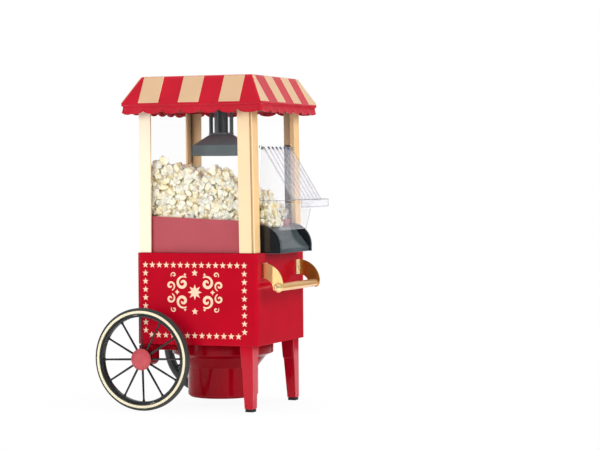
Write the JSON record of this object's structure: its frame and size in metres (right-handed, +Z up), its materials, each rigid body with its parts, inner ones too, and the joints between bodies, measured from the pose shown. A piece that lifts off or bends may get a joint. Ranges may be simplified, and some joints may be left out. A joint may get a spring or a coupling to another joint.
{
  "type": "popcorn maker",
  "caption": "Tabletop hot-air popcorn maker shaped as a cart: box body, glazed cabin with a hanging kettle hood, scalloped canopy, chute with lifting hood, spoked wheels and tapered legs.",
  "frame": {"origin": "on the floor, under the middle of the overall box", "axes": "+Z up, +X towards the chute and the handle, -Y towards the near wheel and the sign side"},
  "size_m": [0.2416, 0.2054, 0.39],
  "materials": {
    "red_plastic": "gloss red moulding",
    "canopy_plastic": "gloss red moulding with printed cream stripes on the slopes",
    "cream_plastic": "satin cream moulding",
    "clear_plastic": "clear polished sheet",
    "gold": "metallic gold coat",
    "steel": "plain bright steel",
    "aluminium": "spun aluminium",
    "mica": "mica board",
    "black_plastic": "gloss black moulding",
    "pale_plastic": "pale moulded plastic",
    "tinted_plastic": "translucent dark red moulding",
    "kettle_plastic": "dark grey heat-proof moulding",
    "rubber": "black rubber",
    "wheel_plastic": "dark moulded spokes and rim",
    "tyre": "matt black tread",
    "tyre_band": "pale side-wall ring",
    "hub_cap": "red cap"
  },
  "bodies": {
    "cart": {"body_shell": "red_plastic", "bottom_plate": "red_plastic", "motor_housing": "red_plastic", "motor_mount": "steel", "fan_motor": "steel", "air_duct": "aluminium", "heater_former": "mica", "heater_coil": "steel", "popping_chamber": "aluminium", "thermostat": "black_plastic", "thermal_fuse": "pale_plastic", "terminal_block": "pale_plastic", "switch_case": "black_plastic", "cord_gland": "black_plastic", "popcorn_bin": "tinted_plastic", "post_wheel_end_near": "cream_plastic", "post_wheel_end_far": "cream_plastic", "post_chute_end_near": "cream_plastic", "post_chute_end_far": "cream_plastic", "pane_near": "clear_plastic", "pane_far": "clear_plastic", "pane_wheel_end": "clear_plastic", "pane_chute_end": "clear_plastic", "roof_frame": "red_plastic", "kettle_hanger": "kettle_plastic", "kettle_bell": "kettle_plastic", "chute": "black_plastic", "hood_pin": "clear_plastic", "handle_bar": "gold", "handle_arm_near": "gold", "handle_arm_far": "gold", "bar_end_near": "gold", "bar_end_far": "gold", "leg_near": "red_plastic", "leg_far": "red_plastic", "foot_near": "rubber", "foot_far": "rubber", "axle_carrier": "red_plastic", "axle_near": "steel", "axle_far": "steel"},
    "canopy": {"canopy": "canopy_plastic"},
    "cup": {"measuring_cup": "canopy_plastic"},
    "hood": {"hood": "clear_plastic"},
    "flap": {"outlet_flap": "clear_plastic"},
    "rocker": {"switch_rocker": "black_plastic"},
    "fan": {"fan_impeller": "black_plastic", "motor_shaft": "steel"},
    "wheel_near": {"wheel_near": "wheel_plastic", "tyre_near": "tyre", "tyre_band_near": "tyre_band", "hub_cap_near": "hub_cap"},
    "wheel_far": {"wheel_far": "wheel_plastic", "tyre_far": "tyre", "tyre_band_far": "tyre_band", "hub_cap_far": "hub_cap"}
  },
  "joints": [
    {"name": "wheel_near_spin", "type": "hinge", "parent": "cart", "child": "wheel_near", "pos_m": [-0.0608, -0.094, 0.06], "axis": [0, 1, 0], "continuous": true},
    {"name": "wheel_far_spin", "type": "hinge", "parent": "cart", "child": "wheel_far", "pos_m": [-0.0608, 0.094, 0.06], "axis": [0, 1, 0], "continuous": true},
    {"name": "hood_lift", "type": "hinge", "parent": "cart", "child": "hood", "pos_m": [0.0712, 0, 0.3065], "axis": [0, -1, 0], "range_deg": [0, 75]},
    {"name": "flap_swing", "type": "hinge", "parent": "hood", "child": "flap", "pos_m": [0.0957, 0, 0.2386], "axis": [0, -1, 0], "range_deg": [-4, 60]},
    {"name": "canopy_lift", "type": "slide", "parent": "cart", "child": "canopy", "axis": [0, 0, 1], "range_m": [0, 0.06]},
    {"name": "cup_lift", "type": "slide", "parent": "canopy", "child": "cup", "axis": [0, 0, 1], "range_m": [0, 0.04]},
    {"name": "rocker_tip", "type": "hinge", "parent": "cart", "child": "rocker", "pos_m": [-0.078, 0.03, 0.112], "axis": [0, 0, -1], "range_deg": [0, 16]},
    {"name": "fan_spin", "type": "hinge", "parent": "cart", "child": "fan", "pos_m": [0.0007, 0, 0.06], "axis": [0, 0, 1], "continuous": true}
  ]
}
